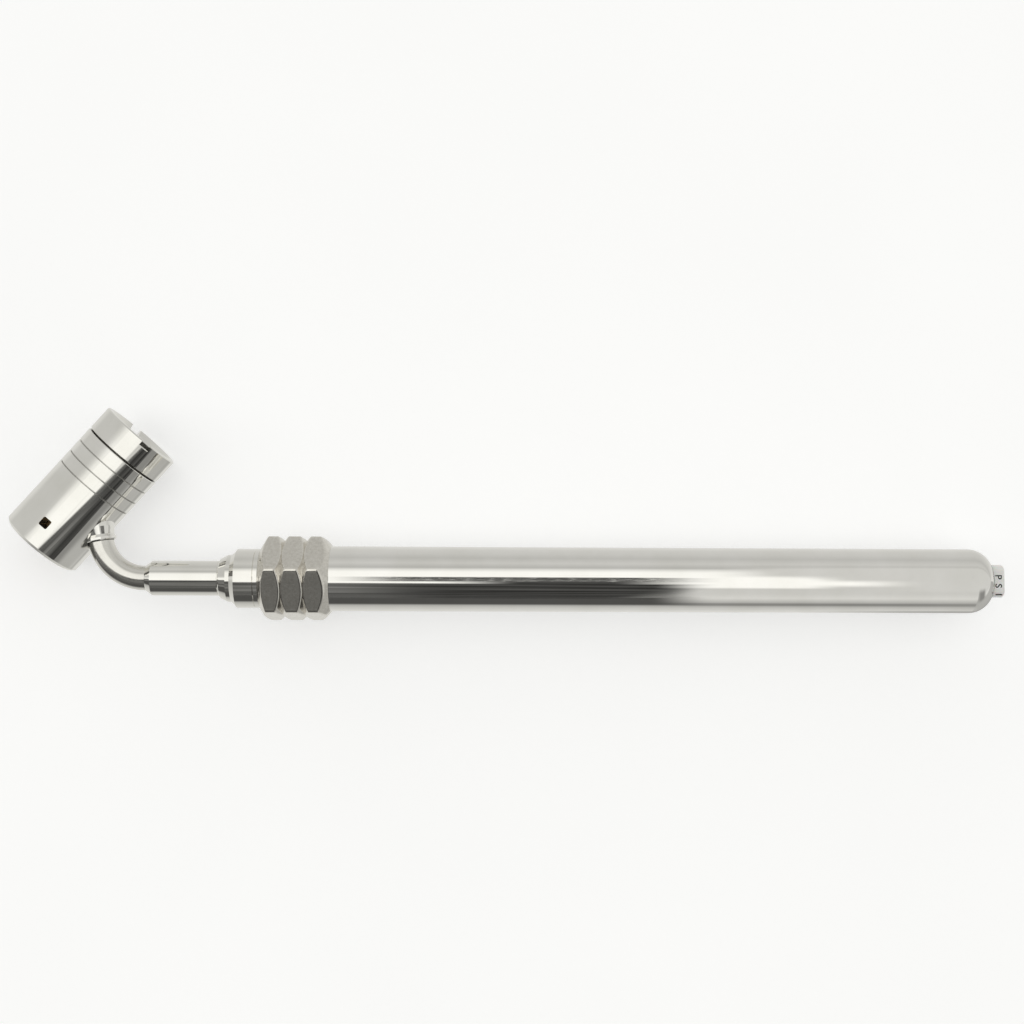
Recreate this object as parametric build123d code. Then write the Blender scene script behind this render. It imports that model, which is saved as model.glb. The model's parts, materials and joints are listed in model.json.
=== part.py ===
from build123d import *
import math
import os

# Sliding-bar tyre pressure gauge with a large-bore straight-on chuck on a bent neck.
# Frame: origin on the barrel axis just outside the grip nut, +X along the barrel
# towards the indicator, +Y towards the side that the neck bends to, +Z up. Millimetres.

# Barrel and indicator
BARREL_R = 7.15
BARREL_BORE_R = 6.55
BARREL_THREAD_R = 6.85
BARREL_START = -12.4
BARREL_STRAIGHT_END = 141.2
END_ROUND_R = 5.0
END_OPENING_R = 4.75
BAR_WIDTH = 7.2
BAR_CORNER_R = 1.6
GUIDE_NOSE = 145.2
BAR_TIP_X = 148.3

# Grip nut
NUT_ACROSS_FLATS = 17.0
NUT_LEFT = -15.8
NUT_RIGHT = -0.5
NUT_BAND_PITCH = 4.8
NUT_FIRST_BAND = -13.1
NUT_CREST_HALF = 1.2
NUT_VALLEY_R = 8.25
NUT_VERTEX_ANGLE = 19.0

# Shoulder adapter, sleeve and neck
SHOULDER_R = 6.5
SHOULDER_RIGHT = -16.9
SHOULDER_LEFT = -21.0
ADAPTER_LEFT = -24.8
SPIGOT_R = 5.95
SPIGOT_END = -8.0
SLEEVE_R = 3.83
SLEEVE_LEFT = -40.8
SLEEVE_INNER_END = -20.0
NECK_R = 2.7
NECK_BORE_R = 1.5
NECK_BEND_START = -41.3
NECK_BEND_R = 9.9
NECK_BEND_ANGLE = 79.0
NECK_INSIDE_HEAD = 6.6
COLLAR_RIM_R = 3.3
COLLAR_WAIST_R = 3.0
COLLAR_HEAD_R = 3.35
COLLAR_SPIGOT_R = 2.95

# Chuck head: local axis s runs along the head axis, positive towards the valve mouth
HEAD_ANGLE = 48.9
HEAD_CENTRE = (-53.69, 19.88, -2.0)
HEAD_R = 9.2
HEAD_TOP = 15.84
HEAD_BOTTOM = -16.76
HEAD_SEAM = 9.91
SEAM_GAP = 0.4
GROOVES = (6.61, 3.54, 0.59)
GROOVE_WIDTH = 0.32
GROOVE_DEPTH = 0.45
MOUTH_R = 6.5
MOUTH_CONE_DEPTH = 1.5
MOUTH_CONE_R = 8.2
SEAL_POCKET_R = 8.0
CHAMBER_R = 5.05
SLOT_WIDTH = 2.4
SLOT_DEPTH = 1.4
SLOT_ANGLE = 29.0
WINDOW_S = -11.0
WINDOW_SIZE = 2.1
WINDOW_ANGLE = 0.0

# Piston group and spring
PISTON_FACE = 0.4
SPRING_START = 0.5
SPRING_END = 135.5
SPRING_WIRE_R = 0.8
SPRING_MEAN_R = 5.5
SPRING_TURNS = 30
GUIDE_START = 136.5

FIT = 0.05
HEAD_PLANE = Plane(
    origin=HEAD_CENTRE,
    x_dir=(0, 0, 1),
    z_dir=(math.cos(math.radians(HEAD_ANGLE)), math.sin(math.radians(HEAD_ANGLE)), 0),
)


def turned(points):
    """Solid turned about +Z from a closed outline of (station, radius) points."""
    outline = Polyline(*[(r, 0, s) for s, r in points], close=True)
    return revolve(make_face(outline), Axis.Z)


def along_barrel(solid):
    """Turn a solid made about +Z so that its axis lies along the barrel."""
    return solid.rotate(Axis.Y, 90)


def in_head(solid):
    return HEAD_PLANE.location * solid


def ring(start, end, outer, inner=0.0):
    """Plain washer or disc about +Z between two stations."""
    return turned([(start, inner), (end, inner), (end, outer), (start, outer)])


def chamfered_ring(start, end, outer, inner, cut):
    """Washer with both outer rims chamfered."""
    points = [(start, inner), (end, inner), (end, outer - cut), (end - cut, outer), (start + cut, outer)]
    return turned(points + [(start, outer - cut)])


def torus_about_z(station, major, minor):
    return Pos(0, 0, station) * Torus(major, minor)


def at_angle(angle, solid):
    return Rot(0, 0, angle) * solid


# ---------------------------------------------------------------- chuck head

def neck_path():
    """Centre line of the neck: straight in the sleeve, one bend, straight into the head."""
    start = Vector(SLEEVE_INNER_END, 0, 0)
    bend_start = Vector(NECK_BEND_START, 0, 0)
    straight = Line(start, bend_start)
    bend = JernArc(bend_start, (-1, 0), NECK_BEND_R, -NECK_BEND_ANGLE)
    bend_end = bend @ 1
    direction = bend % 1
    into_head = Line(bend_end, bend_end + direction * NECK_INSIDE_HEAD)
    return straight, bend, into_head


def neck_end_plane():
    """Plane at the end of the bend, its z pointing along the neck into the head."""
    bend = neck_path()[1]
    return Plane(origin=bend @ 1, x_dir=(0, 0, 1), z_dir=bend % 1)


def make_chuck_body():
    top = HEAD_SEAM - SEAM_GAP / 2
    edge, foot = 0.12, 0.6
    bore_steps = [(HEAD_BOTTOM, 6.55), (-14.5, 6.55), (-14.5, CHAMBER_R), (3.0, CHAMBER_R)]
    bore_steps += [(3.0, 6.5), (4.0, 6.5), (4.0, SEAL_POCKET_R), (top, SEAL_POCKET_R)]
    outside = [(top, HEAD_R - edge), (top - edge, HEAD_R), (HEAD_BOTTOM + foot, HEAD_R)]
    outside += [(HEAD_BOTTOM, HEAD_R - foot)]
    body = turned(bore_steps + outside)
    for station in GROOVES:
        half = GROOVE_WIDTH / 2
        body -= ring(station - half, station + half, HEAD_R + 1, HEAD_R - GROOVE_DEPTH)
    window = Pos(HEAD_R - 2, 0, WINDOW_S) * Box(8, WINDOW_SIZE, WINDOW_SIZE)
    window = fillet(window.edges().filter_by(Axis.X), 0.35)
    body -= at_angle(WINDOW_ANGLE, window)
    recess_start = -4.5
    passage_length = 3.5
    socket = ring(recess_start, NECK_INSIDE_HEAD + FIT, COLLAR_SPIGOT_R + FIT)
    passage = ring(NECK_INSIDE_HEAD, NECK_INSIDE_HEAD + passage_length, NECK_BORE_R)
    return in_head(body) - neck_end_plane().location * (socket + passage)


def make_retaining_ring():
    bottom = HEAD_SEAM + SEAM_GAP / 2
    edge, seam_edge = 0.25, 0.12
    spigot_start = 8.0
    points = [(spigot_start, MOUTH_R), (HEAD_TOP - MOUTH_CONE_DEPTH, MOUTH_R), (HEAD_TOP, MOUTH_CONE_R)]
    points += [(HEAD_TOP, HEAD_R - edge), (HEAD_TOP - edge, HEAD_R), (bottom + seam_edge, HEAD_R)]
    points += [(bottom, HEAD_R - seam_edge), (bottom, SEAL_POCKET_R - FIT)]
    points += [(spigot_start, SEAL_POCKET_R - FIT)]
    body = turned(points)
    slot = Pos(0, 0, HEAD_TOP) * Box(4 * HEAD_R, SLOT_WIDTH, 2 * SLOT_DEPTH)
    return in_head(body - at_angle(SLOT_ANGLE, slot))


def make_valve_seal():
    bevel = 0.5
    points = [(5.0, 2.4), (7.95 - bevel, 2.4), (7.95, 2.4 + bevel), (7.95, 7.9), (5.0, 7.9)]
    return in_head(turned(points))


def make_seal_backing_washer():
    return in_head(chamfered_ring(4.05, 4.95, 7.9, 3.0, 0.15))


def make_core_depressor():
    """Spoked disc with a fixed pin that pushes the valve core open."""
    pin_r, tip = 1.1, 7.9
    disc_low, disc_high, disc_r = 3.05, 3.95, 6.45
    points = [(disc_low, 0), (tip, 0), (tip, pin_r - 0.4), (tip - 0.4, pin_r), (disc_high, pin_r)]
    body = turned(points + [(disc_high, disc_r), (disc_low, disc_r)])
    for i in range(6):
        hole = Pos(3.6, 0, 3.5) * Cylinder(0.85, 3)
        body -= at_angle(60 * i, hole)
    return in_head(body)


def make_base_plug():
    """Threaded brass plug that closes the blind end of the head."""
    top, flange, bottom = -8.6, -14.55, -16.2
    groove_low, groove_high, groove_r = -9.9, -8.95, 4.2
    points = [(bottom, 0), (top, 0), (top, 4.95), (groove_high, 4.95), (groove_high, groove_r)]
    points += [(groove_low, groove_r), (groove_low, 4.95), (flange, 4.95), (flange, 6.45)]
    points += [(bottom + 0.3, 6.45), (bottom, 6.15)]
    body = turned(points)
    return in_head(body - Pos(0, 0, bottom) * Box(20, 1.4, 1.8))


def make_plug_o_ring():
    return in_head(torus_about_z(-9.42, 4.6, 0.38))


# ---------------------------------------------------------------- neck and sleeve

def make_neck_tube():
    straight, bend, into_head = neck_path()
    path = Wire([straight.edge(), bend.edge(), into_head.edge()])
    start = Plane(origin=straight @ 0, z_dir=straight % 0)
    outer = sweep(start * Circle(NECK_R), path=path)
    inner = sweep(start * Circle(NECK_BORE_R), path=path)
    return outer - inner


def make_neck_collar():
    """Waisted ferrule: a rim round the neck, a flare against the head, and a spigot in its socket."""
    lip = 0.2
    flare = [(0, NECK_R + FIT), (8, NECK_R + FIT), (8, COLLAR_HEAD_R), (3, COLLAR_HEAD_R)]
    flare += [(1.3, COLLAR_WAIST_R), (0.7, COLLAR_RIM_R), (lip, COLLAR_RIM_R), (0, COLLAR_RIM_R - lip)]
    cone = neck_end_plane().location * turned(flare)
    spigot = neck_end_plane().location * ring(0, NECK_INSIDE_HEAD, COLLAR_SPIGOT_R, NECK_R + FIT)
    head = in_head(ring(HEAD_BOTTOM, HEAD_TOP, HEAD_R + 0.02))
    return (cone - head) + spigot


def make_stem_sleeve():
    inner = NECK_R + FIT
    nose = 1.3
    groove = 0.3
    points = [(SLEEVE_LEFT, inner), (SLEEVE_INNER_END, inner), (SLEEVE_INNER_END, SLEEVE_R)]
    points += [(ADAPTER_LEFT, SLEEVE_R), (ADAPTER_LEFT, SLEEVE_R - groove)]
    points += [(ADAPTER_LEFT - groove, SLEEVE_R - groove), (ADAPTER_LEFT - groove, SLEEVE_R)]
    points += [(SLEEVE_LEFT + nose, SLEEVE_R), (SLEEVE_LEFT, inner + 0.2)]
    return along_barrel(turned(points))


def make_shoulder_adapter():
    air_r = 1.6
    sleeve_pocket = SLEEVE_R + FIT
    bore = [(ADAPTER_LEFT, sleeve_pocket), (SLEEVE_INNER_END + 0.05, sleeve_pocket)]
    bore += [(SLEEVE_INNER_END + 0.05, air_r), (-10.2, air_r), (-10.2, 3.6), (SPIGOT_END, 3.6)]
    spigot = [(SPIGOT_END, SPIGOT_R - 0.3), (SPIGOT_END - 0.3, SPIGOT_R), (-9.2, SPIGOT_R)]
    spigot += [(-9.2, 5.25), (-10.5, 5.25), (-10.5, SPIGOT_R), (SHOULDER_RIGHT, SPIGOT_R)]
    shoulder = [(SHOULDER_RIGHT, SHOULDER_R - 0.1), (SHOULDER_RIGHT - 0.1, SHOULDER_R)]
    shoulder += [(SHOULDER_LEFT, SHOULDER_R), (SHOULDER_LEFT, 6.3), (-22.1, 5.35), (-22.1, 5.2)]
    shoulder += [(-23.0, 5.2), (-24.6, 4.4), (ADAPTER_LEFT, 4.2)]
    return along_barrel(turned(bore + spigot + shoulder))


def make_joint_washer():
    return along_barrel(chamfered_ring(SHOULDER_RIGHT, NUT_LEFT, SHOULDER_R, SPIGOT_R + FIT, 0.12))


def make_barrel_o_ring():
    return along_barrel(torus_about_z(-9.85, 5.88, 0.6))


def make_filter_screen():
    """Perforated disc that keeps grit out of the barrel."""
    disc = ring(-10.15, -9.75, 3.55)
    pitch = 1.15
    for row in range(-2, 3):
        for column in range(-2, 3):
            if abs(row + column) > 2:
                continue
            x = pitch * (column + row / 2)
            y = pitch * row * math.sqrt(3) / 2
            disc -= Pos(x, y, -10) * Cylinder(0.34, 2)
    return along_barrel(disc)


def make_screen_clip():
    return along_barrel(chamfered_ring(-9.7, -8.9, 3.55, 2.7, 0.1))


# ---------------------------------------------------------------- grip nut and barrel

def nut_outline():
    """Turned outline of the triple-hex nut: coned ends and two V grooves."""
    corner = NUT_ACROSS_FLATS / 2 / math.cos(math.radians(30))
    crest = corner + 0.05
    points = [(NUT_LEFT, 6.8), (NUT_FIRST_BAND - 0.8, crest)]
    for band in range(2):
        centre = NUT_FIRST_BAND + band * NUT_BAND_PITCH
        points.append((centre + NUT_CREST_HALF, crest))
        points.append((centre + NUT_BAND_PITCH / 2, NUT_VALLEY_R))
        points.append((centre + NUT_BAND_PITCH - NUT_CREST_HALF, crest))
    points += [(NUT_FIRST_BAND + 2 * NUT_BAND_PITCH + 0.8, crest), (NUT_RIGHT, 7.45)]
    return points


def make_hex_grip():
    left_bore = SPIGOT_R + FIT
    right_bore = BARREL_THREAD_R + FIT
    step = BARREL_START - 0.1
    bore = [(NUT_RIGHT, right_bore), (step, right_bore), (step, left_bore), (NUT_LEFT, left_bore)]
    blank = turned(nut_outline() + bore)
    hexagon = RegularPolygon(NUT_ACROSS_FLATS / 2, 6, major_radius=False)
    prism = Pos(0, 0, NUT_LEFT) * extrude(hexagon, NUT_RIGHT - NUT_LEFT)
    nut = along_barrel(blank & prism)
    first_vertex = 30
    return nut.rotate(Axis.X, NUT_VERTEX_ANGLE - first_vertex)


def make_barrel():
    """Thin tube whose far end is spun in to a rounded lip."""
    wall = BARREL_R - BARREL_BORE_R
    axis_r = BARREL_R - END_ROUND_R
    end_x = BARREL_STRAIGHT_END
    lip = END_OPENING_R - axis_r
    inner_round = END_ROUND_R - wall

    def on_round(radius, angle):
        turn = math.radians(angle)
        return (axis_r + radius * math.cos(turn), 0, end_x + radius * math.sin(turn))

    outer_angle = math.degrees(math.acos(lip / END_ROUND_R))
    inner_angle = math.degrees(math.acos(lip / inner_round))
    outer_arc = ThreePointArc(*[on_round(END_ROUND_R, outer_angle * part) for part in (0, 0.5, 1)])
    inner_arc = ThreePointArc(*[on_round(inner_round, inner_angle * part) for part in (1, 0.5, 0)])
    lip_line = Line(outer_arc @ 1, inner_arc @ 0)
    thread_end = [(BARREL_BORE_R, 0, end_x), (BARREL_BORE_R, 0, BARREL_START)]
    thread_end += [(BARREL_THREAD_R, 0, BARREL_START), (BARREL_THREAD_R, 0, NUT_RIGHT)]
    thread_end += [(BARREL_R, 0, NUT_RIGHT)]
    rest = Polyline(*thread_end, (BARREL_R, 0, end_x))
    outline = Wire([*outer_arc.edges(), *lip_line.edges(), *inner_arc.edges(), *rest.edges()])
    return along_barrel(revolve(make_face(outline), Axis.Z))


def bar_section(half_width, corner):
    return RectangleRounded(2 * half_width, 2 * half_width, corner)


def make_bar_guide():
    """Nylon bush with a square hole that steers the indicator bar."""
    shoulder = BARREL_STRAIGHT_END - 0.1
    nose_r = END_OPENING_R - FIT
    flange_r = BARREL_BORE_R - FIT
    outer = [(GUIDE_START, 0), (GUIDE_NOSE, 0), (GUIDE_NOSE, nose_r - 0.3), (GUIDE_NOSE - 0.5, nose_r)]
    outer += [(shoulder, nose_r), (shoulder, flange_r), (GUIDE_START, flange_r)]
    bush = turned(outer)
    clearance = 0.1
    hole = extrude(Pos(0, 0, GUIDE_START - 1) * bar_section(BAR_WIDTH / 2 + clearance, BAR_CORNER_R), 20)
    pocket = ring(GUIDE_START - 1, GUIDE_START + 2.2, 5.95)
    return along_barrel(bush - hole - pocket)


def make_friction_ring():
    """Rubber ring that grips the bar so that the reading stays out."""
    clearance = 0.04
    body = ring(GUIDE_START + 0.05, GUIDE_START + 2.15, 5.9)
    hole = extrude(Pos(0, 0, GUIDE_START - 1) * bar_section(BAR_WIDTH / 2 + clearance, BAR_CORNER_R), 6)
    return along_barrel(body - hole)


def make_spring_washer():
    return along_barrel(chamfered_ring(SPRING_END + 0.05, GUIDE_START - 0.05, 6.45, 4.7, 0.1))


def make_main_spring():
    length = SPRING_END - SPRING_START - 2 * SPRING_WIRE_R
    coil = Helix(length / SPRING_TURNS, length, SPRING_MEAN_R)
    section = Plane(origin=coil @ 0, z_dir=coil % 0) * Circle(SPRING_WIRE_R)
    wire = sweep(section, path=coil, is_frenet=True)
    return along_barrel(Pos(0, 0, SPRING_START + SPRING_WIRE_R) * wire)


# ---------------------------------------------------------------- piston group

def make_piston():
    points = [(-2.95, 1.5), (-0.8, 1.5), (-0.8, 0), (PISTON_FACE, 0), (PISTON_FACE, 6.3)]
    points += [(PISTON_FACE - 0.1, 6.4), (-0.9, 6.4), (-0.9, 5.9), (-2.0, 5.9), (-2.0, 6.4), (-2.95, 6.4)]
    return along_barrel(turned(points))


def make_piston_cup():
    """Leather-style cup seal, open towards the air inlet."""
    points = [(-3.0, 1.55), (-3.0, 6.3), (-4.0, 6.3), (-6.0, 6.45), (-6.0, 6.0), (-4.0, 5.4), (-4.0, 1.55)]
    return along_barrel(turned(points))


def make_cup_washer():
    return along_barrel(chamfered_ring(-4.65, -4.05, 4.9, 1.6, 0.1))


def make_piston_screw():
    head_start, head_end, tip = -6.2, -4.7, -1.0
    points = [(head_start, 0), (tip, 0), (tip, 1.2), (tip - 0.25, 1.45), (head_end, 1.45), (head_end, 2.6)]
    points += [(head_start + 0.4, 2.6), (head_start, 2.1)]
    slot = Pos(0, 0, head_start) * Box(8, 0.7, 1.2)
    return along_barrel(turned(points) - slot)


def make_bar_foot():
    """Metal cap on the bar's inner end, where the piston pushes."""
    points = [(PISTON_FACE + 0.1, 0), (5.5, 0), (5.5, 1.9), (3.0, 1.9), (3.0, 4.4), (PISTON_FACE + 0.4, 4.4)]
    points += [(PISTON_FACE + 0.1, 4.1)]
    return along_barrel(turned(points))


def make_indicator_bar():
    start = 3.05
    bar = extrude(Pos(0, 0, start) * bar_section(BAR_WIDTH / 2, BAR_CORNER_R), BAR_TIP_X - start)
    bar = chamfer(bar.faces().sort_by(Axis.Z)[-1].edges(), 0.3)
    return along_barrel(bar - ring(start, 5.6, 1.95))


NODES = {
    "chuck_body": make_chuck_body,
    "retaining_ring": make_retaining_ring,
    "valve_seal": make_valve_seal,
    "seal_backing_washer": make_seal_backing_washer,
    "core_depressor": make_core_depressor,
    "base_plug": make_base_plug,
    "plug_o_ring": make_plug_o_ring,
    "neck_tube": make_neck_tube,
    "neck_collar": make_neck_collar,
    "stem_sleeve": make_stem_sleeve,
    "shoulder_adapter": make_shoulder_adapter,
    "joint_washer": make_joint_washer,
    "barrel_o_ring": make_barrel_o_ring,
    "filter_screen": make_filter_screen,
    "screen_clip": make_screen_clip,
    "hex_grip": make_hex_grip,
    "barrel": make_barrel,
    "bar_guide": make_bar_guide,
    "friction_ring": make_friction_ring,
    "spring_washer": make_spring_washer,
    "main_spring": make_main_spring,
    "piston": make_piston,
    "piston_cup": make_piston_cup,
    "cup_washer": make_cup_washer,
    "piston_screw": make_piston_screw,
    "bar_foot": make_bar_foot,
    "indicator_bar": make_indicator_bar,
}

os.makedirs("parts", exist_ok=True)
for name, make in NODES.items():
    export_step(make(), f"parts/{name}.step")
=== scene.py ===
import json
import math

import bmesh
import bpy
from mathutils import Matrix, Vector


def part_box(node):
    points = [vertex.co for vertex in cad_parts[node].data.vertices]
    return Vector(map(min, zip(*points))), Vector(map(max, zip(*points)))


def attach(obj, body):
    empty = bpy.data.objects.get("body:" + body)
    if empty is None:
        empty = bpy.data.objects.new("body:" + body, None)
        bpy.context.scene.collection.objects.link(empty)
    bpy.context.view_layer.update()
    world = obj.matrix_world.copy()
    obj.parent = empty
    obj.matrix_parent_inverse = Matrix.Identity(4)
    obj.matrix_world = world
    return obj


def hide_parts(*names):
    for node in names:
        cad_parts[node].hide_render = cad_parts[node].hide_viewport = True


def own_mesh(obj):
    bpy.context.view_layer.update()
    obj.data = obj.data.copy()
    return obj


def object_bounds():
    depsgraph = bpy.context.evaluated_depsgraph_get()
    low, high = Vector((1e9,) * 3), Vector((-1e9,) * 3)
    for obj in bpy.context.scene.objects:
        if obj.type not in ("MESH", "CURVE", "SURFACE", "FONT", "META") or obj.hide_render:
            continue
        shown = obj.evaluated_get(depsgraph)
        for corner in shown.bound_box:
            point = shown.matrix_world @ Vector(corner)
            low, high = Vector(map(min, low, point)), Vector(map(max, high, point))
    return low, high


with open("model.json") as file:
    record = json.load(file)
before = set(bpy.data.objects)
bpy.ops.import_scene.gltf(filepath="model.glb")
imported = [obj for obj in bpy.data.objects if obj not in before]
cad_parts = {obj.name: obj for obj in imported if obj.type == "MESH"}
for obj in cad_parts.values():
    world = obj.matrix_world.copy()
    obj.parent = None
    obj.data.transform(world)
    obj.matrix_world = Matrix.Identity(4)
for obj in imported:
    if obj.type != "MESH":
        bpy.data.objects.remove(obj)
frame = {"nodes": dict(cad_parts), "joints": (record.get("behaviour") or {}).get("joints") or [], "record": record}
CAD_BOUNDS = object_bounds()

MM = 0.001

# Places read from the frame, in metres
BARREL_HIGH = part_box("barrel")[1]
BAR_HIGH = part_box("indicator_bar")[1]
SPRING_LOW, SPRING_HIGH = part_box("main_spring")
GRIP_LOW, GRIP_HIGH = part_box("hex_grip")
OBJECT_LOW = min(CAD_BOUNDS[0][2], CAD_BOUNDS[1][2])
TRAVEL = frame["joints"][0]["range_m"][1]

# Places taken from the design, in metres
HEAD_ANGLE = math.radians(48.9)
HEAD_CENTRE = Vector((-53.69, 19.88, -2.0)) * MM
NECK_RIM = Vector((-51.02, 8.01, 0)) * MM
NECK_RIM_ANGLE = math.radians(101)

# Colours that several materials share
CHROME_BRIGHT = (0.93, 0.92, 0.89)
CHROME_DULL = (0.86, 0.85, 0.81)
# Mottled dark colours for recesses of the plated parts: painted shade with a dirt-like mottle
DIRT_AND_SHADE_DARK = (0.10, 0.095, 0.085)
DIRT_AND_SHADE_PALE = (0.26, 0.25, 0.23)
# Painted shadow: the dark ring on the nylon guide under the barrel's lip
LIP_SHADOW_DARK = (0.03, 0.03, 0.035)


# ---------------------------------------------------------------- node helpers

class Shader:
    """A material with a Principled shader, and short calls that add nodes to it."""

    def __init__(self, name):
        self.material = bpy.data.materials.new(name)
        self.material.use_nodes = True
        self.tree = self.material.node_tree
        self.bsdf = self.tree.nodes["Principled BSDF"]
        self.place = self.add("ShaderNodeTexCoord").outputs["Object"]

    def add(self, kind, **settings):
        node = self.tree.nodes.new(kind)
        for key, value in settings.items():
            setattr(node, key, value)
        return node

    def link(self, source, target):
        self.tree.links.new(source, target)

    def put(self, **constants):
        for key, value in constants.items():
            self.bsdf.inputs[key.replace("_", " ")].default_value = value

    def mapped(self, turn=0.0, stretch=(1, 1, 1)):
        """Object coordinates in millimetres, turned about Z and stretched along an axis."""
        turned = self.add("ShaderNodeVectorRotate", rotation_type="Z_AXIS")
        turned.inputs["Angle"].default_value = -turn
        self.link(self.place, turned.inputs["Vector"])
        scaled = self.add("ShaderNodeVectorMath", operation="MULTIPLY")
        scaled.inputs[1].default_value = [1000 * part for part in stretch]
        self.link(turned.outputs[0], scaled.inputs[0])
        return scaled.outputs[0]

    def noise(self, vector, scale, detail=3.0, roughness=0.5):
        node = self.add("ShaderNodeTexNoise")
        node.inputs["Scale"].default_value = scale
        node.inputs["Detail"].default_value = detail
        node.inputs["Roughness"].default_value = roughness
        self.link(vector, node.inputs["Vector"])
        return node.outputs["Fac"]

    def spread(self, value, low, high, start=0.3, end=0.7):
        """Map a noise value to a range."""
        node = self.add("ShaderNodeMapRange")
        node.inputs["From Min"].default_value = start
        node.inputs["From Max"].default_value = end
        node.inputs["To Min"].default_value = low
        node.inputs["To Max"].default_value = high
        self.link(value, node.inputs["Value"])
        return node.outputs[0]

    def math(self, operation, first, second):
        node = self.add("ShaderNodeMath", operation=operation)
        for socket, value in zip(node.inputs, (first, second)):
            if isinstance(value, (int, float)):
                socket.default_value = value
            else:
                self.link(value, socket)
        return node.outputs[0]

    def mix(self, factor, first, second):
        """Blend two colours by a factor that varies over the surface."""
        node = self.add("ShaderNodeMix", data_type="RGBA")
        self.link(factor, node.inputs["Factor"])
        for socket, value in zip((node.inputs["A"], node.inputs["B"]), (first, second)):
            if isinstance(value, (tuple, list)):
                socket.default_value = (*value, 1)
            else:
                self.link(value, socket)
        return node.outputs["Result"]

    def colour(self, source):
        self.link(source, self.bsdf.inputs["Base Color"])

    def roughness(self, source):
        self.link(source, self.bsdf.inputs["Roughness"])

    def from_axis(self, centre, axis_angle):
        """Station along a level axis turned about Z, and distance from it, in millimetres."""
        shifted = self.add("ShaderNodeVectorMath", operation="SUBTRACT")
        shifted.inputs[1].default_value = centre
        self.link(self.place, shifted.inputs[0])
        turned = self.add("ShaderNodeVectorRotate", rotation_type="Z_AXIS")
        turned.inputs["Angle"].default_value = -axis_angle
        self.link(shifted.outputs[0], turned.inputs["Vector"])
        flat = self.add("ShaderNodeVectorMath", operation="MULTIPLY")
        flat.inputs[1].default_value = (0, 1000, 1000)
        self.link(turned.outputs[0], flat.inputs[0])
        length = self.add("ShaderNodeVectorMath", operation="LENGTH")
        self.link(flat.outputs[0], length.inputs[0])
        split = self.add("ShaderNodeSeparateXYZ")
        self.link(turned.outputs[0], split.inputs[0])
        return self.math("MULTIPLY", split.outputs[0], 1000), length.outputs["Value"]

    def band(self, value, low, high, soft):
        """1 between two values, fading to 0 outside them."""
        rise = self.spread(value, 0, 1, low - soft, low)
        fall = self.spread(value, 1, 0, high, high + soft)
        return self.math("MULTIPLY", rise, fall)

    def bump(self, height, distance_mm, strength=1.0):
        node = self.add("ShaderNodeBump")
        node.inputs["Strength"].default_value = strength
        node.inputs["Distance"].default_value = distance_mm * MM
        self.link(height, node.inputs["Height"])
        self.link(node.outputs[0], self.bsdf.inputs["Normal"])


def plated(name, bright, dull, rough, turn=0.0, shade_and_grime=None):
    """Plated metal: cloudy tint, wiped-on streaks in the roughness, hairline scratches and soft ripples.

    The last argument is a point, an axis angle, a span of stations and a span of radii: inside them the metal
    turns darker and rougher, a painted shade in recesses with a dirt-like mottle.
    """
    drawn_out, scratch_rough, dirt_rough = (0.06, 1, 1), 0.05, 0.45
    ripple_mm, scratch_share = 0.004, 0.03
    shader = Shader(name)
    shader.put(Metallic=1.0)
    plain = shader.mapped()
    streaks = shader.mapped(turn, drawn_out)
    cloud = shader.noise(plain, 0.12, 4)
    clean = shader.mix(shader.spread(cloud, 0, 1), bright, dull)
    wiped = shader.spread(shader.noise(streaks, 1.6, 5, 0.65), *rough)
    hairline = shader.noise(streaks, 14.0, 2, 0.6)
    marks = shader.spread(hairline, 0, scratch_rough, 0.62, 0.72)
    gloss = shader.math("ADD", wiped, marks)
    if shade_and_grime:
        centre, axis_angle, stations, radii = shade_and_grime
        station, radius = shader.from_axis(centre, axis_angle)
        # Painted shade: the colour turns dark and mottled in recesses below the given radii
        recess_shade = shader.spread(radius, 1, 0, *radii)
        recess_shade = shader.math("MULTIPLY", recess_shade, shader.band(station, *stations, 0.1))
        dirt_and_shade = shader.mix(shader.spread(shader.noise(plain, 2.0, 4), 0, 1), DIRT_AND_SHADE_DARK, DIRT_AND_SHADE_PALE)
        shader.colour(shader.mix(recess_shade, clean, dirt_and_shade))
        shader.roughness(shader.math("ADD", gloss, shader.math("MULTIPLY", recess_shade, dirt_rough)))
    else:
        shader.colour(clean)
        shader.roughness(gloss)
    ripple = shader.noise(shader.mapped(turn, (0.03, 0.35, 0.35)), 0.5, 2)
    shader.bump(shader.math("ADD", ripple, shader.math("MULTIPLY", hairline, scratch_share)), ripple_mm)
    return shader.material


def turned_metal(name, bright, dull, rough, pitch, turn=0.0, bump_mm=0.006):
    """Machined metal with fine tool rings across its axis and a dulled, slightly stained colour."""
    shader = Shader(name)
    shader.put(Metallic=1.0)
    plain = shader.mapped()
    along = shader.mapped(turn, (1, 0.02, 0.02))
    cloud = shader.noise(plain, 1.6, 6, 0.65)
    shader.colour(shader.mix(shader.spread(cloud, 0, 1), bright, dull))
    rings = shader.noise(along, pitch, 3, 0.7)
    shader.roughness(shader.spread(rings, *rough))
    shader.bump(rings, bump_mm)
    return shader.material


def rubber(name):
    """Black rubber with a faint cloudy bloom and a fine grain."""
    shader = Shader(name)
    plain = shader.mapped()
    bloom = shader.noise(plain, 0.8, 4)
    shader.colour(shader.mix(shader.spread(bloom, 0, 1), (0.012, 0.012, 0.012), (0.035, 0.034, 0.032)))
    shader.roughness(shader.spread(shader.noise(plain, 3.0, 3), 0.55, 0.75))
    shader.bump(shader.noise(plain, 6.0, 3), 0.02)
    return shader.material


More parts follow.
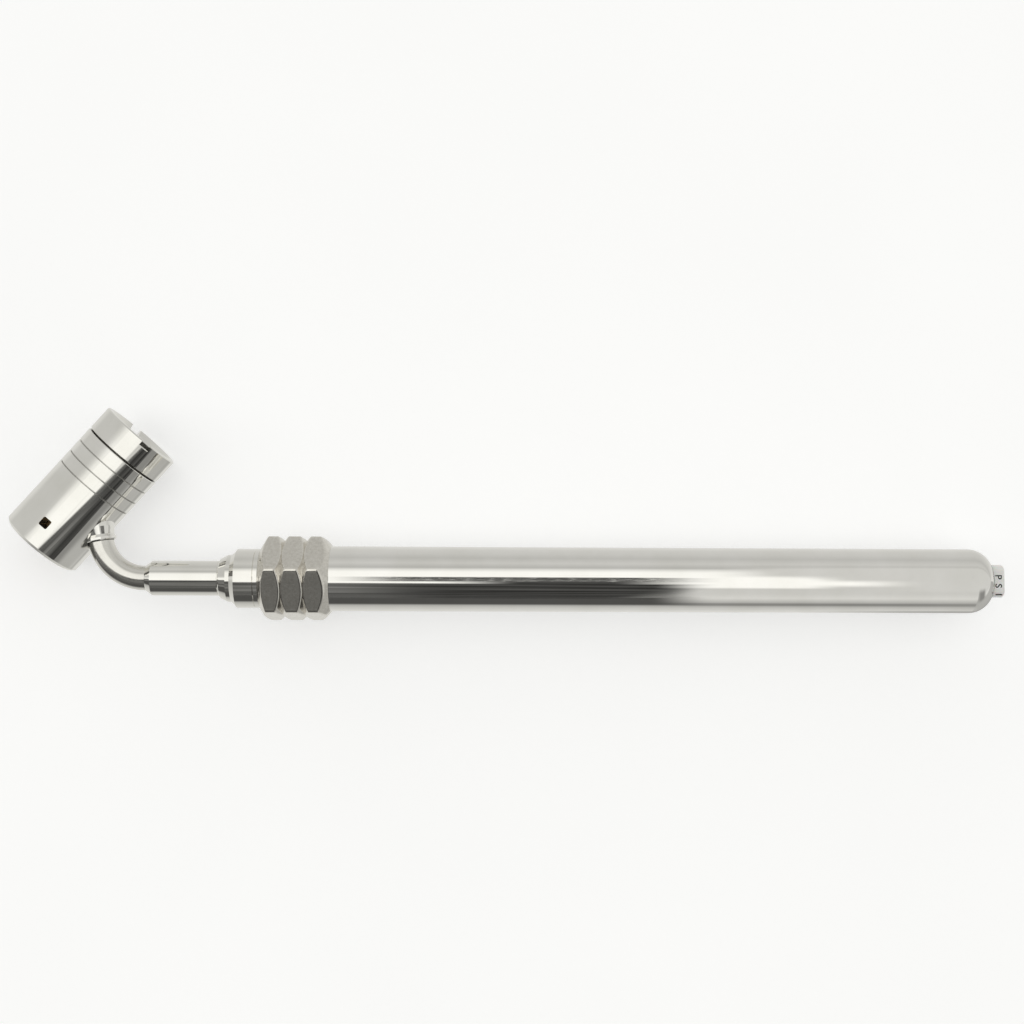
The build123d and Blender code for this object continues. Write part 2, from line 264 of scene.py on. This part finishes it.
def plastic(name, clean, worn, rough, wax, shadow_rim_mm=0.0):
    """Moulded plastic with fine lines along its length, a cloudy tint, and a painted dark shadow ring outside the
    given radius from the X axis.
    """
    shader = Shader(name)
    shader.put(Subsurface_Weight=wax, Subsurface_Scale=1.5 * MM, IOR=1.49)
    plain = shader.mapped()
    drawn = shader.mapped(0, (0.05, 1, 1))
    cloud = shader.noise(plain, 0.3, 4)
    body = shader.mix(shader.spread(cloud, 0, 1), clean, worn)
    if shadow_rim_mm:
        # Painted shadow: dark ring outside the given radius, where the barrel's lip shades the guide
        radius = shader.from_axis((0, 0, 0), 0)[1]
        edge = shader.spread(radius, 0, 1, shadow_rim_mm, shadow_rim_mm + 0.15)
        body = shader.mix(edge, body, LIP_SHADOW_DARK)
    shader.colour(body)
    lines = shader.noise(drawn, 6.0, 4, 0.6)
    shader.roughness(shader.spread(lines, *rough))
    shader.bump(lines, 0.006)
    return shader.material


def ink(name):
    """Near-black printing ink with patchy gloss."""
    shader = Shader(name)
    plain = shader.mapped()
    patch = shader.noise(plain, 5.0, 4)
    shader.colour(shader.mix(shader.spread(patch, 0, 1), (0.012, 0.012, 0.014), (0.04, 0.04, 0.045)))
    shader.roughness(shader.spread(patch, 0.35, 0.55))
    return shader.material


MATERIALS = {
    "polished_chrome": plated("polished_chrome", CHROME_BRIGHT, CHROME_DULL, (0.03, 0.07), HEAD_ANGLE),
    # Head chrome with painted shade in its grooves, seam and window, below the skin
    "head_chrome": plated(
        "head_chrome", CHROME_BRIGHT, CHROME_DULL, (0.04, 0.09), HEAD_ANGLE,
        (HEAD_CENTRE, HEAD_ANGLE, (-16.1, 14.2), (8.35, 9.16)),
    ),
    # Barrel chrome with a painted shadow: a dark ring at the lip of its open end
    "barrel_chrome": plated(
        "barrel_chrome", (0.94, 0.93, 0.91), (0.88, 0.87, 0.84), (0.025, 0.06), 0,
        ((0, 0, 0), 0, (144, 150), (5.05, 5.25)),
    ),
    # Satin chrome, darker and rougher close to the neck rim, inside a radius of 6 to 7 mm
    "satin_chrome": plated(
        "satin_chrome", (0.86, 0.85, 0.81), (0.76, 0.74, 0.70), (0.14, 0.22), 0.4,
        (NECK_RIM, NECK_RIM_ANGLE, (-0.08, 3), (6, 7)),
    ),
    "grip_chrome": turned_metal(
        "grip_chrome", (0.86, 0.84, 0.79), (0.70, 0.67, 0.62), (0.08, 0.20), 5.0, 0, 0.008
    ),
    "steel": turned_metal("steel", (0.62, 0.63, 0.65), (0.42, 0.43, 0.45), (0.2, 0.4), 3.0),
    "brass": turned_metal("brass", (0.90, 0.63, 0.31), (0.38, 0.25, 0.12), (0.22, 0.42), 4.0, HEAD_ANGLE),
    "black_rubber": rubber("black_rubber"),
    # Nylon with a painted shadow ring outside 4.3 mm, under the barrel's lip
    "nylon": plastic("nylon", (0.80, 0.79, 0.74), (0.70, 0.68, 0.61), (0.35, 0.5), 0.2, 4.3),
    "white_plastic": plastic("white_plastic", (0.97, 0.97, 0.96), (0.93, 0.93, 0.92), (0.22, 0.34), 0.1),
    "bar_ink": ink("bar_ink"),
}


def dress_frame():
    """Give every CAD node the detailed material of its slot."""
    for subpart in frame["record"]["subparts"]:
        node = frame["nodes"][subpart["node"]]
        node.data.materials.clear()
        in_head = subpart["node"] in ("chuck_body", "retaining_ring")
        node.data.materials.append(MATERIALS["head_chrome" if in_head else subpart["material_slot"]])


def piece(name, mesh, material, body):
    """A new visible mesh object that rides on a body."""
    obj = bpy.data.objects.new(name, mesh)
    bpy.context.scene.collection.objects.link(obj)
    mesh.materials.clear()
    mesh.materials.append(MATERIALS[material])
    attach(obj, body)
    return obj


# ---------------------------------------------------------------- main spring

def make_spring():
    """Closed-end compression spring: the pitch opens after the first turn and closes before the last."""
    wire_r, mean_r = 0.8 * MM, 5.5 * MM
    turns, closed, steps, sides = 30, 1.25, 40, 12
    closed_pitch_gap = 1.02
    start, end = SPRING_LOW.x + wire_r, SPRING_HIGH.x - wire_r
    closed_rise = closed * 2 * wire_r * closed_pitch_gap
    mesh_builder = bmesh.new()
    rings = []
    count = turns * steps
    for i in range(count + 1):
        turn = i / steps
        open_share = min(max((turn - closed) / (turns - 2 * closed), 0), 1)
        first = min(turn, closed) / closed * closed_rise
        last = max(turn - (turns - closed), 0) / closed * closed_rise
        x = start + first + last + open_share * (end - start - 2 * closed_rise)
        angle = 2 * math.pi * turn
        outward = Vector((0, math.cos(angle), math.sin(angle)))
        loop = []
        for k in range(sides):
            around = 2 * math.pi * k / sides
            along = Vector((x + wire_r * math.sin(around), 0, 0))
            point = outward * (mean_r + wire_r * math.cos(around)) + along
            loop.append(mesh_builder.verts.new(point))
        rings.append(loop)
    for low, high in zip(rings, rings[1:]):
        for k in range(sides):
            mesh_builder.faces.new((low[k], low[(k + 1) % sides], high[(k + 1) % sides], high[k]))
    mesh_builder.faces.new(reversed(rings[0]))
    mesh_builder.faces.new(rings[-1])
    bmesh.ops.recalc_face_normals(mesh_builder, faces=mesh_builder.faces)
    for face in mesh_builder.faces:
        face.smooth = len(face.verts) == 4
    mesh = bpy.data.meshes.new("coil_spring")
    mesh_builder.to_mesh(mesh)
    mesh_builder.free()
    spring = piece("coil_spring", mesh, "steel", "gauge")
    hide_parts("main_spring")
    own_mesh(spring)


# ---------------------------------------------------------------- grip nut

def soft_min(first, second, blend):
    """Smaller of two values, with a rounded join."""
    near = max(blend - abs(first - second), 0) / blend
    return min(first, second) - near * near * blend / 4


def grip_profile(x):
    """Turned radius of the nut at a station, in millimetres: coned ends and two V grooves."""
    crest, valley = 9.86, 8.25
    points = [(-15.8, 6.8), (-13.9, crest), (-11.9, crest), (-10.7, valley), (-9.5, crest), (-7.1, crest)]
    points += [(-5.9, valley), (-4.7, crest), (-2.7, crest), (-0.5, 7.45)]
    for (low, low_r), (high, high_r) in zip(points, points[1:]):
        if x <= high:
            return low_r + (high_r - low_r) * (x - low) / (high - low)
    return points[-1][1]


def grip_radius(x, angle):
    """Radius of the nut's skin: six flats cut by the turned profile, every edge rolled over."""
    apothem, vertex, roll, inside_cad = 8.5, math.radians(19), 0.42, 0.01
    away = (angle - vertex) % (math.pi / 3)
    flats = [apothem / math.cos(away - math.pi / 6), apothem / math.cos(away + math.pi / 6)]
    flats.append(apothem / math.cos(away - math.pi / 2))
    hexagon = soft_min(soft_min(flats[0], flats[1], roll), flats[2], roll)
    return soft_min(hexagon, grip_profile(x), roll) - inside_cad


def make_grip():
    """The grip nut with its edges rolled over, as plating leaves them."""
    start, end = GRIP_LOW.x / MM, GRIP_HIGH.x / MM
    rows, columns = 150, 300
    bore, bore_step, sharp_angle = 6.95, 0.9, math.radians(40)
    mesh_builder = bmesh.new()

    def loop(x, radius_at):
        verts = []
        for k in range(columns):
            angle = 2 * math.pi * k / columns
            r = radius_at(angle)
            verts.append(mesh_builder.verts.new(Vector((x, r * math.cos(angle), r * math.sin(angle))) * MM))
        return verts

    loops = []
    for i in range(rows + 1):
        x = start + (end - start) * i / rows
        loops.append(loop(x, lambda angle: grip_radius(x, angle)))
    loops.append(loop(end, lambda angle: bore))
    loops.append(loop(start, lambda angle: bore - bore_step))
    loops.append(loops[0])
    for low, high in zip(loops, loops[1:]):
        for k in range(columns):
            after = (k + 1) % columns
            face = mesh_builder.faces.new((low[k], low[after], high[after], high[k]))
            face.smooth = True
    bmesh.ops.recalc_face_normals(mesh_builder, faces=mesh_builder.faces)
    for edge in mesh_builder.edges:
        edge.smooth = edge.calc_face_angle(0) < sharp_angle
    mesh = bpy.data.meshes.new("grip_nut")
    mesh_builder.to_mesh(mesh)
    mesh_builder.free()
    nut = piece("grip_nut", mesh, "grip_chrome", "gauge")
    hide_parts("hex_grip")


# ---------------------------------------------------------------- print on the indicator bar

PRINT_THICK = 0.004 * MM


def flat_text(words, size, centre, bold=0.0):
    """Thin raised lettering on the bar's top face, its tops towards the bar's tip."""
    curve = bpy.data.curves.new("print", "FONT")
    curve.body = words
    curve.size = size
    curve.align_x = "CENTER"
    curve.align_y = "CENTER"
    curve.extrude = PRINT_THICK
    curve.resolution_u = 4
    curve.offset = bold
    holder = bpy.data.objects.new("print", curve)
    bpy.context.scene.collection.objects.link(holder)
    turn = Matrix.Rotation(-math.pi / 2, 4, "Z")
    holder.matrix_world = Matrix.Translation(centre) @ turn
    bpy.context.view_layer.update()
    depsgraph = bpy.context.evaluated_depsgraph_get()
    mesh = bpy.data.meshes.new_from_object(holder.evaluated_get(depsgraph))
    mesh.transform(holder.matrix_world)
    bpy.data.objects.remove(holder)
    return mesh


def make_bar_print():
    """Unit letters at the tip, and a pressure scale that slides out of the barrel."""
    top = BAR_HIGH.z + PRINT_THICK
    lip = BARREL_HIGH.x
    tip = BAR_HIGH.x
    meshes = []
    letter_pitch, letter_size, letter_inset, middle = 1.95 * MM, 2.1 * MM, 1.55 * MM, -1.05 * MM
    for i, letter in enumerate("PSI"):
        centre = Vector((tip - letter_inset, middle + (1 - i) * letter_pitch, top))
        meshes.append(flat_text(letter, letter_size, centre, 0.03 * MM))
    full_scale, step, minor_step = 150, 10, 2
    digit_size, digit_shift = 1.9 * MM, 1.9 * MM
    for value in range(step, full_scale + 1, step):
        x = lip - TRAVEL * value / full_scale
        meshes.append(flat_text(str(value), digit_size, Vector((x + digit_shift, 0, top))))
    builder = bmesh.new()
    for mesh in meshes:
        builder.from_mesh(mesh)
        bpy.data.meshes.remove(mesh)
    half_line, edge, minor_length = 0.09 * MM, 2.0 * MM, 1.1 * MM
    for value in range(minor_step, full_scale + 1, minor_step):
        x = lip - TRAVEL * value / full_scale
        low, high = (-edge, edge) if value % step == 0 else (edge - minor_length, edge)
        size = (2 * half_line, high - low, 2 * PRINT_THICK)
        place = Matrix.Translation((x, (low + high) / 2, top)) @ Matrix.Diagonal((*size, 1))
        bmesh.ops.create_cube(builder, size=1, matrix=place)
    mesh = bpy.data.meshes.new("bar_print")
    builder.to_mesh(mesh)
    builder.free()
    piece("bar_print", mesh, "bar_ink", "indicator")


# ---------------------------------------------------------------- studio

class Glow:
    """Emission pattern: soft-edged patches laid over a starting colour, in two coordinates."""

    def __init__(self, tree, x, y, start):
        self.tree = tree
        self.x, self.y = x, y
        self.result = start

    def step(self, value, edge, soft, rising=True):
        node = self.tree.nodes.new("ShaderNodeMapRange")
        node.interpolation_type = "SMOOTHSTEP"
        node.inputs["From Min"].default_value = edge - soft / 2
        node.inputs["From Max"].default_value = edge + soft / 2
        node.inputs["To Min"].default_value = 0 if rising else 1
        node.inputs["To Max"].default_value = 1 if rising else 0
        self.tree.links.new(value, node.inputs["Value"])
        return node.outputs[0]

    def product(self, values):
        total = values[0]
        for value in values[1:]:
            node = self.tree.nodes.new("ShaderNodeMath")
            node.operation = "MULTIPLY"
            self.tree.links.new(total, node.inputs[0])
            self.tree.links.new(value, node.inputs[1])
            total = node.outputs[0]
        return total

    def mask(self, x, y, soft):
        """Cover of a soft-edged rectangle; soft is the edge width along x and along y."""
        factors = []
        for value, span, width in ((self.x, x, soft[0]), (self.y, y, soft[1])):
            factors.append(self.step(value, span[0], width))
            factors.append(self.step(value, span[1], width, rising=False))
        return self.product(factors)

    def patch(self, level, x, y, soft):
        mix = self.tree.nodes.new("ShaderNodeMix")
        mix.data_type = "RGBA"
        self.tree.links.new(self.mask(x, y, soft), mix.inputs["Factor"])
        if isinstance(self.result, tuple):
            mix.inputs["A"].default_value = (*self.result, 1)
        else:
            self.tree.links.new(self.result, mix.inputs["A"])
        mix.inputs["B"].default_value = (*warm(level), 1)
        self.result = mix.outputs["Result"]


def warm(level):
    """Slightly warm grey of a given brightness."""
    return (level, level * 0.995, level * 0.955)


def split_xyz(tree, vector):
    node = tree.nodes.new("ShaderNodeSeparateXYZ")
    tree.links.new(vector, node.inputs[0])
    return node.outputs


# Brightness of the surroundings by angle about X: 0 is straight up, -90 is level towards -Y, in degrees
WORLD_TONES = [
    (-180, 0.74), (-150, 0.72), (-122, 0.60), (-109, 0.48), (-102, 0.27), (-94, 0.26), (-87, 0.48),
    (-68, 0.72), (-50, 0.64), (-26, 0.62), (-15, 1.08), (25, 1.04), (33, 0.82), (41, 0.50), (58, 0.62),
    (80, 0.53), (100, 0.60), (124, 0.64), (150, 0.72), (180, 0.74),
]

# Patches over those tones: brightness, span of the direction's X, span of the angle, and edge widths
WORLD_PATCHES = [
    (0.08, (-2, 0.165), (-101, -64), (0.05, 8)),
    (0.20, (-2, 0.165), (-66, -22), (0.03, 6)),
    (0.66, (0.215, 2), (12, 44), (0.06, 14)),
    (0.66, (0.265, 2), (-3, 44), (0.06, 14)),
    (0.66, (0.315, 2), (-40, 44), (0.06, 14)),
    (1.06, (0.135, 0.27), (-29, 5), (0.04, 9)),
    (0.26, (0.49, 0.78), (-110, -38), (0.16, 26)),
    (0.46, (0.42, 2), (-146, -84), (0.22, 24)),
    (0.42, (0.30, 2), (-181, -140), (0.12, 12)),
    (0.58, (-2, -0.40), (6, 120), (0.44, 24)),
]


def make_world():
    """Plain surroundings: a bright strip overhead, grey to the sides, darker towards -Y."""
    world = bpy.data.worlds.new("studio")
    world.use_nodes = True
    tree = world.node_tree
    x, y, z = split_xyz(tree, tree.nodes.new("ShaderNodeTexCoord").outputs["Generated"])
    angle = tree.nodes.new("ShaderNodeMath")
    angle.operation = "ARCTAN2"
    tree.links.new(y, angle.inputs[0])
    tree.links.new(z, angle.inputs[1])
    degrees = tree.nodes.new("ShaderNodeMath")
    degrees.operation = "MULTIPLY"
    degrees.inputs[1].default_value = math.degrees(1)
    tree.links.new(angle.outputs[0], degrees.inputs[0])
    turn = tree.nodes.new("ShaderNodeMapRange")
    turn.inputs["From Min"].default_value = -180
    turn.inputs["From Max"].default_value = 180
    tree.links.new(degrees.outputs[0], turn.inputs["Value"])
    ramp = tree.nodes.new("ShaderNodeValToRGB")
    tree.links.new(turn.outputs[0], ramp.inputs[0])
    elements = ramp.color_ramp.elements
    while len(elements) < len(WORLD_TONES):
        elements.new(0.5)
    for element, (at, level) in zip(elements, WORLD_TONES):
        element.position = (at + 180) / 360
        element.color = (*warm(level), 1)
    glow = Glow(tree, x, degrees.outputs[0], ramp.outputs[0])
    for patch in WORLD_PATCHES:
        glow.patch(*patch)
    tree.links.new(glow.result, tree.nodes["Background"].inputs["Color"])
    bpy.context.scene.world = world


def drawn_noise(tree, stretch, detail):
    """Noise over the object's own coordinates in metres, drawn out along an axis."""
    scaled = tree.nodes.new("ShaderNodeVectorMath")
    scaled.operation = "MULTIPLY"
    scaled.inputs[1].default_value = stretch
    tree.links.new(tree.nodes.new("ShaderNodeTexCoord").outputs["Object"], scaled.inputs[0])
    noise = tree.nodes.new("ShaderNodeTexNoise")
    noise.inputs["Scale"].default_value = 1
    noise.inputs["Detail"].default_value = detail
    tree.links.new(scaled.outputs[0], noise.inputs["Vector"])
    return noise.outputs["Fac"]


# The dark card, in metres: its height and its sides
CARD_HEIGHT = 0.1
CARD_LEFT, CARD_RIGHT = -0.32, 0.14
CARD_LOW, CARD_HIGH = -0.30, 0.03


def make_dark_card():
    """Low dark card towards -Y that only reflections see: the chrome shows it as its dark band."""
    material = bpy.data.materials.new("dark_card")
    material.use_nodes = True
    tree = material.node_tree
    tree.nodes.clear()
    x, y = split_xyz(tree, tree.nodes.new("ShaderNodeTexCoord").outputs["Object"])[:2]
    glow = Glow(tree, x, y, warm(0.085))
    glow.patch(0.13, (-0.6, 0.012), (-0.11, 0.1), (0.05, 0.06))
    glow.patch(0.045, (0.005, 0.2), (CARD_LOW, -0.012), (0.04, 0.03))
    emit = tree.nodes.new("ShaderNodeEmission")
    tree.links.new(glow.result, emit.inputs["Color"])
    grain = tree.nodes.new("ShaderNodeMapRange")
    grain.inputs["From Min"].default_value = 0.32
    grain.inputs["From Max"].default_value = 0.70
    grain.inputs["To Min"].default_value = 0.45
    grain.inputs["To Max"].default_value = 2.1
    tree.links.new(drawn_noise(tree, (9, 55, 1), 3), grain.inputs["Value"])
    tree.links.new(grain.outputs[0], emit.inputs["Strength"])
    smear = glow.step(drawn_noise(tree, (260, 900, 1), 5), 0.37, 0.16)
    covers = [
        glow.mask((-0.6, 0.094), (-0.9, -0.027), (0.02, 0.008)),
        glow.mask((0.030, 0.086), (-0.06, -0.0125), (0.03, 0.004)),
        glow.product([glow.mask((0.0, 0.090), (-0.0155, 0.0115), (0.03, 0.005)), smear]),
    ]
    cover = covers[0]
    for other in covers[1:]:
        node = tree.nodes.new("ShaderNodeMath")
        node.operation = "MAXIMUM"
        tree.links.new(cover, node.inputs[0])
        tree.links.new(other, node.inputs[1])
        cover = node.outputs[0]
    mix = tree.nodes.new("ShaderNodeMixShader")
    tree.links.new(cover, mix.inputs[0])
    tree.links.new(tree.nodes.new("ShaderNodeBsdfTransparent").outputs[0], mix.inputs[1])
    tree.links.new(emit.outputs[0], mix.inputs[2])
    out = tree.nodes.new("ShaderNodeOutputMaterial")
    tree.links.new(mix.outputs[0], out.inputs["Surface"])
    mesh = bpy.data.meshes.new("dark_card")
    corners = [(CARD_LEFT, CARD_LOW, 0), (CARD_RIGHT, CARD_LOW, 0)]
    corners += [(CARD_RIGHT, CARD_HIGH, 0), (CARD_LEFT, CARD_HIGH, 0)]
    mesh.from_pydata(corners, [], [(0, 3, 2, 1)])
    mesh.materials.append(material)
    card = bpy.data.objects.new("dark_card", mesh)
    card.location.z = CARD_HEIGHT
    card.visible_camera = False
    card.visible_shadow = False
    card.visible_diffuse = False
    bpy.context.scene.collection.objects.link(card)


def make_floor():
    """Plain pale table top just under the gauge. Reflections don't see it."""
    half, gap = 3.0, 0.1 * MM
    shader = Shader("pale_floor")
    shader.put(Roughness=0.9, Emission_Color=(1, 1, 1, 1), Emission_Strength=0.42)
    shader.bsdf.inputs["Specular IOR Level"].default_value = 0.1
    cloud = shader.noise(shader.mapped(), 0.01, 3)
    shader.colour(shader.mix(shader.spread(cloud, 0, 1), (0.86, 0.865, 0.875), (0.835, 0.84, 0.85)))
    mesh = bpy.data.meshes.new("floor")
    corners = [(-half, -half, 0), (half, -half, 0), (half, half, 0), (-half, half, 0)]
    mesh.from_pydata(corners, [], [(0, 1, 2, 3)])
    mesh.materials.append(shader.material)
    floor = bpy.data.objects.new("floor", mesh)
    floor.location.z = OBJECT_LOW - gap
    floor.visible_glossy = False
    bpy.context.scene.collection.objects.link(floor)


CAMERA_PLACE = Vector((30.77, -3.88, 277.06)) * MM
CAMERA_FORWARD = Vector((0.0305, 0.068, -1.0))
CAMERA_ROLL = math.radians(0.319)
CAMERA_LENS, CAMERA_SENSOR = 43.95, 36


def make_camera():
    """Camera above the gauge, looking down and a little towards the image's top and right."""
    forward = CAMERA_FORWARD.normalized()
    right = Vector((1, 0, 0)) - forward * forward.x
    right.normalize()
    up = right.cross(forward)
    turned_right = right * math.cos(CAMERA_ROLL) + up * math.sin(CAMERA_ROLL)
    turned_up = up * math.cos(CAMERA_ROLL) - right * math.sin(CAMERA_ROLL)
    data = bpy.data.cameras.new("camera")
    data.sensor_width = CAMERA_SENSOR
    data.lens = CAMERA_LENS
    data.clip_start = 0.01
    camera = bpy.data.objects.new("camera", data)
    axes = Matrix((turned_right, turned_up, -forward)).transposed()
    camera.matrix_world = Matrix.Translation(CAMERA_PLACE) @ axes.to_4x4()
    bpy.context.scene.collection.objects.link(camera)
    bpy.context.scene.camera = camera


bpy.context.scene.view_settings.view_transform = "Standard"
dress_frame()
make_spring()
make_grip()
make_bar_print()
make_camera()
make_world()
make_dark_card()
make_floor()
